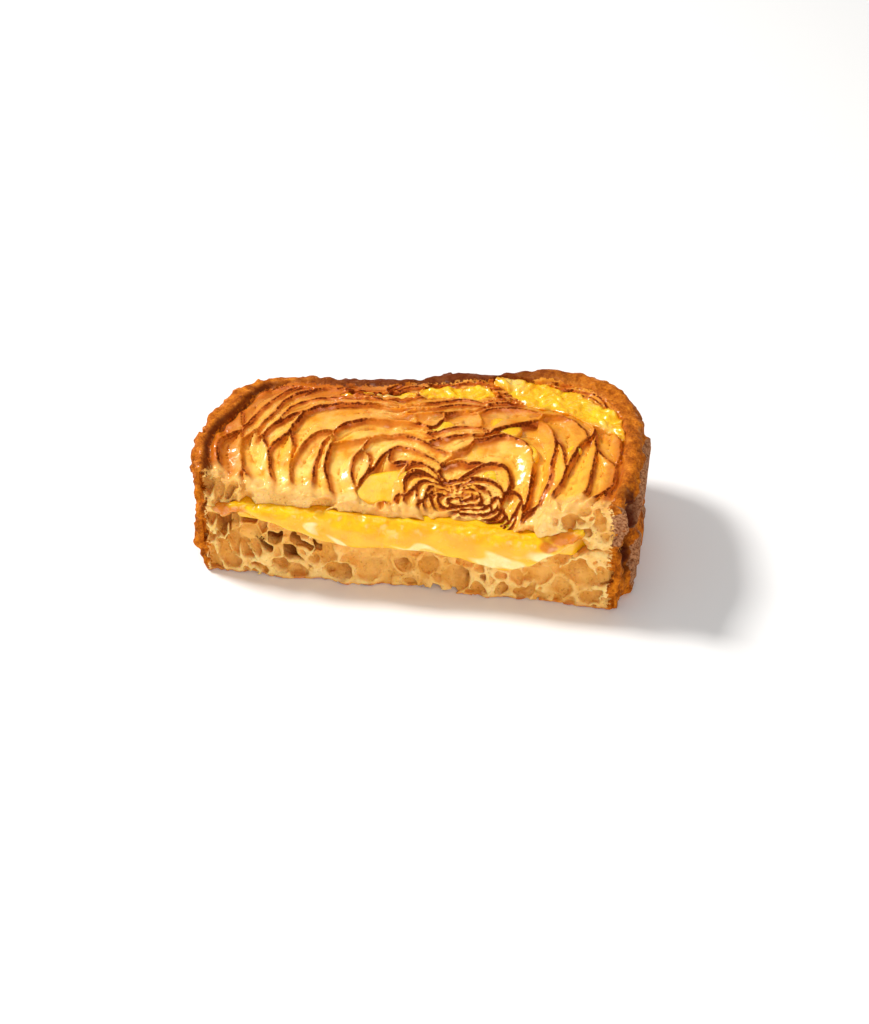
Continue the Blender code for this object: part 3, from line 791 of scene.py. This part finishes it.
def paint_bread(made, local, upper):
    """Gives each point of a slice what the bread's material reads there."""
    x, y, z = local.T
    inset = sample(CRUST_INSET, local)
    if upper:
        ridge = sample(RIDGE_DISTANCE, local)
        crumb = smoothstep(0.5, 1.5, sample(FACE, local) - z)
        on_rim = sample(ON_RIM, local)
        fold = smoothstep(-30, -48, x) * np.exp(-(((sample(RIM_EDGE, local) - 0.2) / 0.8) ** 2))
        ledge = abs(ridge - sample(LEDGE, local)) + 2 * (1 - sample(LEDGE_SHARE, local))
        cheesy = smoothstep(14, 30, x) * smoothstep(2, 14, y)
        paint(made, toast=sample(TOAST, local), strip=sample(STRIP, local), core=sample(CORE, local))
    else:
        ridge, fold, ledge, cheesy = 0.5, 0.0, 1.0, 0.0
        crumb = smoothstep(0.2, 1.0, z - 0.1)
        on_rim = smoothstep(4.5, 2.5, inset)
        paint(made, toast=0.8, strip=0.0, core=0.0)
    # The walls that face away from the key light are marked here, for painted shade in the face's
    # colour.
    paint(made, ridge=ridge / 2, far=ridge / 5, ledge=ledge, steep=sample(STEEP_SIDE, local))
    # How far back from the cut each point lies; the crumb's colour darkens with it as painted shade in
    # the holes.
    paint(made, crumb=crumb, sunk=(y + 1) / 6, cheesy=cheesy)
    shell = smoothstep(4.4, 1.8, inset - 0.3 * smoothstep(38, 50, x))
    paint(made, crust=np.maximum(shell, on_rim * (1 - crumb)))
    # Deeper orange near the crust at both ends and somewhat towards the back: real browning, with
    # painted shade where the face turns down to the crust.
    left = smoothstep(18, 6, inset) * smoothstep(25, -30, x)
    right = smoothstep(13, 6, inset) * smoothstep(36, 50, x)
    paint(made, amber=np.maximum.reduce([left, right, 0.45 * smoothstep(18, 34, y)]))
    # Paler, greyer brown on the raised plates of the right end's crust.
    paint(made, flour=right_end_share(local, CRUST_PLATES, 1.12, 0.9))
    # Painted shade deep in the splits of the right end's crust.
    paint(made, crevice=right_end_share(local, CRUST_SPLITS, 1.2, 0.75))
    back = smoothstep(26, 42, y) * smoothstep(-44, -22, x) * smoothstep(44, 14, x)
    back = back * (0.4 + 0.6 * smoothstep(26, 33, z))
    paint(made, scorch=np.maximum(back, fold))


# ---------------- cheese


def ellipsoid(grid, row):
    """Distance outside an ellipsoid that leans in the plane of the cut."""
    x, y, z, half_length, half_depth, half_height, lean = row
    along, up = turned(grid.x - x, grid.z - z, lean)
    q = np.sqrt((along / half_length) ** 2 + ((grid.y - y) / half_depth) ** 2 + (up / half_height) ** 2)
    return (q - 1) * min(half_length, half_depth, half_height)


def cheese_field():
    """Cheese between the slices and the curtain of it that hangs over the lower slice's cut face."""
    grid = Grid((OUTLINE_LEFT + 4, -CHEESE_BULGE - 1.4, 9.0), (OUTLINE_RIGHT - 4, 20.0, 26.0))
    x = grid.x
    ends = smoothstep(0, 9, x - CHEESE_LEFT) * smoothstep(0, 8, CHEESE_RIGHT - x)
    half = over(grid, OPENING - 0.02)
    recess = 3.2 * smoothstep(1.5, -1.5, np.minimum(x - CHEESE_LEFT, CHEESE_RIGHT - x))
    slab = np.maximum(abs(grid.z - seam(x)) - half, recess - 0.2 - grid.y)
    slab = np.maximum(slab, 0.25 - half)
    top = seam(x) + CHEESE_THICKNESS / 2 * (0.45 + 0.55 * ends) + 0.4
    lip = smooth_line(LIP_LINE, grid.axes[0])[:, None, None]
    rise = np.clip((grid.z - lip) / (top - lip), 0, 1)
    face_axes = (grid.axes[0], grid.axes[2])
    folds = grid_noise(face_axes, (7.0, 3.2), 71)[:, None, :]
    fine = grid_noise(face_axes, (2.4, 1.6), 72)[:, None, :]
    bulge = np.sqrt(np.clip(1 - ((rise - 0.36) / 0.7) ** 2, 0, 1))
    nose = (CHEESE_BULGE * (0.3 + 0.7 * ends) - 0.6) * bulge + 0.5 * folds + 0.14 * fine
    curtain = smooth_max(-grid.y - nose, np.maximum(lip - grid.z, grid.y - 0.8), 1.4)
    curtain = smooth_max(curtain, grid.z - top, 1.2)
    past_ends = np.maximum(CHEESE_LEFT - x, x - CHEESE_RIGHT) + 0.6 * folds
    curtain = smooth_max(curtain, past_ends, 2.0)
    curtain += smoothstep(0.66, 0.95, rise) * 0.2 * grid.noise(0.9, 73)
    field = smooth_min(slab, curtain, 0.8)
    rough = 0.35 * grid.noise(1.6, 74) + 0.15 * grid.noise(0.8, 75)
    for lump in CHEESE_LUMPS:
        field = smooth_min(field, ellipsoid(grid, lump) + rough, 0.4)
    return grid, np.maximum(field, grid.y - 18)


def fried_field():
    """Cheese in the scoops' pockets and the sheet fried on the toasted face."""
    grid = Grid((MAP.low[0], MAP.low[1], 20.0), (OUTLINE_RIGHT, OUTLINE_BACK, TOTAL_HEIGHT + MARGIN))
    bubbles = 0.45 * abs(map_noise(1.3, 33)) + 0.3 * map_noise(2.8, 34)
    sheet_level = PAN - SHEET_SINK + 1.4 * bubbles
    pool_level = PAN - POOL_SINK + 0.35 * map_noise(4, 35) + 0.12 * np.clip(POOLS, 0, 4)
    sheet = np.maximum(grid.z - over(grid, sheet_level), -over(grid, FRIED))
    pool = smooth_max(grid.z - over(grid, pool_level), -over(grid, POOLS), 0.9)
    field = np.minimum(sheet, pool)
    under = np.maximum(np.minimum(sheet_level, pool_level) - 4.0, seam(MAP_X) + 0.4)
    field = np.maximum(field, over(grid, under) - grid.z)
    field = np.maximum(field, over(grid, FRIED_INSET - CRUST_INSET))
    return grid, np.maximum(field, -0.4 - grid.y)


# ---------------- materials


def colour(red, green, blue):
    """A colour given as on a screen, from 0 to 255."""
    screen = np.array([red, green, blue]) / 255
    linear = np.where(screen <= 0.04045, screen / 12.92, ((screen + 0.055) / 1.055) ** 2.4)
    return (*linear, 1.0)


class Finish:
    """A material's nodes, made one after another."""

    def __init__(self, name):
        self.material = bpy.data.materials.new(name)
        self.material.use_nodes = True
        self.nodes = self.material.node_tree.nodes
        self.links = self.material.node_tree.links
        self.shader = self.nodes["Principled BSDF"]
        self.place = self.nodes.new("ShaderNodeTexCoord").outputs["Object"]

    def put(self, socket, value):
        if isinstance(value, bpy.types.NodeSocket):
            self.links.new(value, socket)
        else:
            socket.default_value = value

    def set(self, name, value):
        self.put(self.shader.inputs[name], value)

    def attribute(self, name):
        node = self.nodes.new("ShaderNodeAttribute")
        node.attribute_name = name
        return node.outputs["Fac"]

    def noise(self, size_mm, detail, roughness=0.5):
        node = self.nodes.new("ShaderNodeTexNoise")
        self.links.new(self.place, node.inputs["Vector"])
        node.inputs["Scale"].default_value = 1 / (size_mm * MM)
        node.inputs["Detail"].default_value = detail
        node.inputs["Roughness"].default_value = roughness
        return node.outputs["Fac"]

    def cells(self, size_mm):
        node = self.nodes.new("ShaderNodeTexVoronoi")
        self.links.new(self.place, node.inputs["Vector"])
        node.inputs["Scale"].default_value = 1 / (size_mm * MM)
        return node.outputs["Distance"]

    def math(self, operation, a, b, clamped=False):
        node = self.nodes.new("ShaderNodeMath")
        node.operation = operation
        node.use_clamp = clamped
        self.put(node.inputs[0], a)
        self.put(node.inputs[1], b)
        return node.outputs[0]

    def plus(self, a, b):
        return self.math("ADD", a, b)

    def minus(self, a, b):
        return self.math("SUBTRACT", a, b)

    def times(self, a, b):
        return self.math("MULTIPLY", a, b)

    def larger(self, a, b):
        return self.math("MAXIMUM", a, b, clamped=True)

    def span(self, value, low, high, to_low=0.0, to_high=1.0):
        """The value moved from one range to another, with soft ends."""
        node = self.nodes.new("ShaderNodeMapRange")
        node.interpolation_type = "SMOOTHSTEP"
        self.put(node.inputs["Value"], value)
        limits = {"From Min": low, "From Max": high, "To Min": to_low, "To Max": to_high}
        for label, number in limits.items():
            node.inputs[label].default_value = number
        return node.outputs["Result"]

    def mix(self, share, a, b):
        node = self.nodes.new("ShaderNodeMix")
        node.data_type = "RGBA"
        self.put(node.inputs["Factor"], share)
        self.put(node.inputs["A"], a)
        self.put(node.inputs["B"], b)
        return node.outputs["Result"]

    def ramp(self, value, stops):
        node = self.nodes.new("ShaderNodeValToRGB")
        self.put(node.inputs["Fac"], value)
        elements = node.color_ramp.elements
        while len(elements) < len(stops):
            elements.new(0.5)
        for element, (position, shade) in zip(elements, stops):
            element.position = position
            element.color = shade
        return node.outputs["Color"]

    def bump(self, height, distance_mm, strength, onto=None):
        node = self.nodes.new("ShaderNodeBump")
        node.inputs["Distance"].default_value = distance_mm * MM
        node.inputs["Strength"].default_value = strength
        self.put(node.inputs["Height"], height)
        if onto is not None:
            self.links.new(onto, node.inputs["Normal"])
        return node.outputs["Normal"]


def crumb_colours(f, broad, medium, fine):
    """The crumb's colour, with painted shade deeper in the gas holes, that of the plain strip along the
    cut, and where the crumb's pores are.
    """
    web = f.mix(f.span(medium, 0.35, 0.7), colour(253, 214, 140), colour(243, 192, 108))
    # Paler at the cut, darker and more orange deeper in the gas holes: painted shade.
    hollow = f.mix(f.span(broad, 0.35, 0.65), colour(242, 186, 98), colour(226, 162, 72))
    sunk = f.plus(f.attribute("sunk"), f.times(f.minus(fine, 0.5), 0.2))
    crumb = f.mix(f.span(sunk, 0.0, 0.42), web, hollow)
    # Deeper still the holes turn brown: more painted shade.
    crumb = f.mix(f.span(sunk, 0.56, 0.9), crumb, colour(184, 114, 44))
    pores = f.span(f.cells(1.1), 0.3, 0.1)
    crumb = f.mix(f.times(pores, f.span(broad, 0.45, 0.6, 0.0, 0.5)), crumb, colour(206, 138, 48))
    return crumb, f.mix(0.6, web, hollow), pores


def face_colours(f, broad, medium, fine):
    """The toasted face's colour, with painted shade on the walls that face away from the key light, and
    how near each place is to a dark crest.
    """
    toast, core, steep = f.attribute("toast"), f.attribute("core"), f.attribute("steep")
    scoop = f.mix(f.span(broad, 0.3, 0.7), colour(255, 206, 104), colour(250, 178, 50))
    scoop = f.mix(f.attribute("cheesy"), scoop, colour(253, 184, 54))
    scoop = f.mix(f.span(f.noise(3.5, 3.0), 0.5, 0.72, 0.0, 0.6), scoop, colour(216, 124, 16))
    # Deeper orange near the ends' crust: real browning with painted shade.
    scoop = f.mix(f.attribute("amber"), scoop, colour(186, 90, 0))
    # Orange reaching out from the ridges: real browning, spread wider on the walls that face away from
    # the key light as painted shade.
    golden = f.times(f.span(f.attribute("far"), 0.62, 0.05), f.span(steep, 0.0, 1.0, 0.3, 0.85))
    golden = f.times(golden, f.span(core, 0.0, 1.0, 1.0, 0.4))
    scoop = f.mix(golden, scoop, colour(222, 128, 12))

    ragged = f.times(f.minus(fine, 0.5), 0.26)
    ridge = f.minus(f.plus(f.attribute("ridge"), ragged), f.times(core, 0.06))
    flank = f.mix(f.span(medium, 0.3, 0.7), colour(168, 70, 0), colour(212, 110, 2))
    # The brown flanks reach further on the walls that face away from the key light: painted shade over
    # the real browning.
    flank_reach = f.plus(0.2, f.times(steep, 0.5))
    near_flank = f.span(f.minus(ridge, flank_reach), 0.28, -0.4)
    face = f.mix(f.times(near_flank, f.span(toast, 0.0, 0.6)), scoop, flank)

    crest = f.mix(f.span(fine, 0.3, 0.7), colour(78, 20, 0), colour(136, 52, 0))
    # The dark crests are wider on those walls too: painted shade over the real dark edges.
    crest_reach = f.plus(0.05, f.times(steep, 0.07))
    crest_reach = f.plus(crest_reach, f.span(f.noise(3.0, 1.0), 0.45, 0.7, 0.0, 0.08))
    near_crest = f.span(f.minus(ridge, crest_reach), 0.11, 0.03)
    near_ledge = f.span(f.plus(f.attribute("ledge"), ragged), 0.24, 0.05)
    near_crest = f.larger(near_crest, f.times(near_ledge, 0.8))
    face = f.mix(f.times(near_crest, f.span(toast, 0.15, 0.75)), face, crest)
    scorched = f.times(f.times(core, toast), f.span(f.noise(0.8, 3.0, 0.6), 0.52, 0.64, 0.0, 0.6))
    return f.mix(scorched, face, colour(150, 66, 2)), near_crest


def crust_colour(f, medium, fine):
    """The crust's mottled brown, its paler, greyer plates, and painted shade in its splits."""
    stops = [
        (0.3, colour(104, 44, 4)),
        (0.46, colour(172, 86, 10)),
        (0.6, colour(212, 120, 20)),
        (0.8, colour(238, 162, 54)),
    ]
    shade = f.ramp(f.plus(f.times(medium, 0.6), f.times(fine, 0.4)), stops)
    shade = f.mix(f.times(f.attribute("scorch"), 0.85), shade, colour(92, 28, 2))
    # Paler, greyer brown on the right end's raised plates.
    floury = f.mix(f.span(fine, 0.35, 0.6), colour(122, 68, 36), colour(184, 128, 88))
    shade = f.mix(f.span(f.times(f.attribute("flour"), medium), 0.2, 0.36), shade, floury)
    # The splits turn nearly black-brown: painted shade.
    return f.mix(f.attribute("crevice"), shade, colour(70, 16, 0))


def bread_finish():
    f = Finish("toasted_bread")
    crumb_share, crust = f.attribute("crumb"), f.attribute("crust")
    broad, medium, fine = f.noise(7.0, 3.0), f.noise(2.2, 3.0), f.noise(0.6, 4.0, 0.6)
    crumb, plain, pores = crumb_colours(f, broad, medium, fine)
    face, near_crest = face_colours(f, broad, medium, fine)
    face = f.mix(f.times(f.attribute("strip"), 0.85), face, plain)
    base = f.mix(crumb_share, face, crumb)
    specks = f.span(f.noise(0.9, 2.0), 0.4, 0.6, -0.25, 0.25)
    crust_ragged = f.plus(f.plus(crust, specks), f.times(f.minus(medium, 0.5), 0.7))
    base = f.mix(f.span(crust_ragged, 0.3, 0.6), base, crust_colour(f, medium, fine))
    f.set("Base Color", base)

    buttered = f.times(f.minus(1.0, crumb_share), f.minus(1.0, f.times(crust, 0.7)))
    buttered = f.times(buttered, f.minus(1.0, near_crest))
    gloss = f.times(buttered, f.span(medium, 0.3, 0.7, 0.2, 0.46))
    f.set("Roughness", f.minus(0.78, gloss))
    f.set("Specular IOR Level", f.span(buttered, 0.0, 1.0, 0.14, 0.34))
    f.set("Specular Tint", (1.0, 0.8, 0.5, 1.0))
    f.set("Coat Weight", f.times(buttered, f.span(medium, 0.4, 0.7, 0.0, 0.8)))
    f.set("Coat Roughness", 0.13)
    f.set("Subsurface Weight", f.span(crust, 0.0, 0.6, 0.4, 0.05))
    f.set("Subsurface Radius", (1.0, 0.5, 0.12))
    f.set("Subsurface Scale", 1.8 * MM)

    grain = f.plus(f.times(f.noise(0.35, 3.0), 0.5), f.times(f.cells(0.9), 0.6))
    grain = f.minus(grain, f.times(pores, crumb_share))
    dry = f.larger(f.times(crumb_share, 0.7), crust)
    grain_share = f.times(grain, f.span(dry, 0.2, 0.8, 0.3, 1.0))
    coarse = f.bump(f.noise(1.1, 3.0), 0.3, 0.4)
    f.set("Normal", f.bump(grain_share, 0.35, 0.8, onto=coarse))
    return f.material


def cheese_finish(name, fried):
    f = Finish(name)
    cream = f.attribute("cream")
    broad, medium, fine = f.noise(6.0, 2.0), f.noise(2.0, 3.0), f.noise(0.5, 3.0)
    yellow = f.mix(f.span(broad, 0.35, 0.65), colour(255, 198, 12), colour(254, 180, 8))
    pale = f.mix(f.span(medium, 0.3, 0.7), colour(255, 236, 170), colour(255, 220, 136))
    base = f.mix(f.span(cream, 0.3, 0.9), yellow, pale)
    base = f.mix(f.attribute("browned"), base, colour(214, 112, 10))
    if fried:
        spots = f.span(f.noise(1.6, 3.0), 0.58, 0.72)
        base = f.mix(f.times(spots, 0.4), base, colour(222, 124, 20))
    f.set("Base Color", base)
    f.set("Roughness", f.span(medium, 0.3, 0.7, 0.12, 0.3))
    f.set("Coat Weight", 0.25)
    f.set("Coat Roughness", 0.08)
    f.set("Subsurface Weight", 0.6)
    f.set("Subsurface Radius", (1.0, 0.6, 0.15))
    f.set("Subsurface Scale", 2.2 * MM)
    coarse = f.bump(f.noise(1.8, 2.0), 0.4, 0.35)
    f.set("Normal", f.bump(fine, 0.12, 0.6 if fried else 0.45, onto=coarse))
    return f.material


# ---------------- pieces


def dress(made, slot, finish, *nodes):
    made.data.materials.append(finish)
    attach(made, "root")
    if nodes:
        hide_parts(*nodes)


def make_bread():
    finish = bread_finish()
    for name, node, slot, upper in (
        ("upper_slice", "bread_top", "bread_toasted", True),
        ("lower_slice", "bread_bottom", "bread_crumb", False),
    ):
        grid, values = upper_slice_field() if upper else lower_slice_field()
        made, local = mesh_from(name, grid, values, BREAD_ADAPTIVITY)
        paint_bread(made, local, upper)
        dress(made, slot, finish, node)


def make_melted_cheese():
    grid, values = cheese_field()
    made, local = mesh_from("melted_cheese", grid, values, 0.0)
    x, _, z = local.T
    above_lip = z - smooth_line(LIP_LINE, x)
    streaks = 0.5 + 0.5 * np.sin(x * 0.21 + 0.8 * np.sin(z * 0.5))
    cream = smoothstep(3.0, 0.6, above_lip) * (0.1 + 0.45 * streaks)
    swirl_x = 1.8 * np.sin(z * 1.1 + x * 0.3)
    swirl_z = 0.9 * np.sin(x * 0.7 + z * 0.5)
    for spot_x, spot_z, half_width, half_height in CREAM_SPOTS:
        reach = np.hypot((x + swirl_x - spot_x) / half_width, (z + swirl_z - spot_z) / half_height)
        cream = np.maximum(cream, smoothstep(1.5, 0.2, reach))
    browned = np.zeros(len(local))
    for lump_x, _, lump_z, half_length, _, half_height, _ in CHEESE_LUMPS:
        reach = np.hypot((x - lump_x) / half_length, (z - lump_z) / half_height)
        browned = np.maximum(browned, 0.8 * smoothstep(1.3, 0.8, reach))
    paint(made, cream=cream, browned=browned)
    dress(made, "melted_cheese", cheese_finish("melted_cheese", False), "cheese")


def make_fried_cheese():
    grid, values = fried_field()
    made, local = mesh_from("fried_cheese", grid, values, 0.0)
    depth_in = np.maximum(sample(FRIED, local), sample(POOLS, local))
    paint(made, cream=0.1 + 0.35 * sample(map_noise(4, 36), local))
    paint(made, browned=smoothstep(0.9, 0.2, depth_in) * 0.5)
    dress(made, "melted_cheese", cheese_finish("fried_cheese", True))


# ---------------- camera, floor and light

CAMERA_AZIMUTH = math.radians(9)
CAMERA_ELEVATION = math.radians(38)
CAMERA_DISTANCE = 0.62
FOCAL_LENGTH = 79.2
SENSOR_WIDTH = 36
LOOK_AT = (1.0, 34.1, -0.4)
LIGHT_TARGET = (0, 0, 0.015)
LIGHT_TINT = (1, 0.98, 0.95)
WORLD_STRENGTH = 0.32
FLOOR_GREY = 0.93


def aim(made, location, target):
    made.location = location
    made.rotation_mode = "QUATERNION"
    made.rotation_quaternion = (Vector(target) - Vector(location)).to_track_quat("-Z", "Y")
    bpy.context.scene.collection.objects.link(made)


def make_camera():
    data = bpy.data.cameras.new("camera")
    data.lens = FOCAL_LENGTH
    data.sensor_width = SENSOR_WIDTH
    across = math.cos(CAMERA_ELEVATION)
    to_right = math.sin(CAMERA_AZIMUTH) * across
    to_front = math.cos(CAMERA_AZIMUTH) * across
    back = Vector((to_right, -to_front, math.sin(CAMERA_ELEVATION)))
    target = Vector(place(LOOK_AT))
    camera = bpy.data.objects.new("camera", data)
    aim(camera, target + back * CAMERA_DISTANCE, target)
    bpy.context.scene.camera = camera


def make_light(name, location, size, power):
    data = bpy.data.lights.new(name, "AREA")
    data.size = size
    data.energy = power
    data.color = LIGHT_TINT
    aim(bpy.data.objects.new(name, data), location, LIGHT_TARGET)


def make_studio():
    bpy.ops.mesh.primitive_plane_add(size=6)
    floor = bpy.context.object
    floor.name = "floor"
    f = Finish("floor_paper")
    f.set("Base Color", (FLOOR_GREY, FLOOR_GREY, FLOOR_GREY, 1))
    f.set("Roughness", 0.9)
    floor.data.materials.append(f.material)
    make_light("key", (-0.6, 0.15, 0.7), 0.18, 8.5)
    make_light("fill", (0.35, -0.9, 0.3), 0.7, 5.0)
    make_light("top", (0.0, 0.2, 1.0), 0.5, 1.5)
    world = bpy.data.worlds.new("studio")
    bpy.context.scene.world = world
    world.use_nodes = True
    world.node_tree.nodes["Background"].inputs["Color"].default_value = (1, 1, 1, 1)
    world.node_tree.nodes["Background"].inputs["Strength"].default_value = WORLD_STRENGTH
    bpy.context.scene.view_settings.view_transform = "Standard"


make_camera()
make_bread()
make_melted_cheese()
make_fried_cheese()
make_studio()
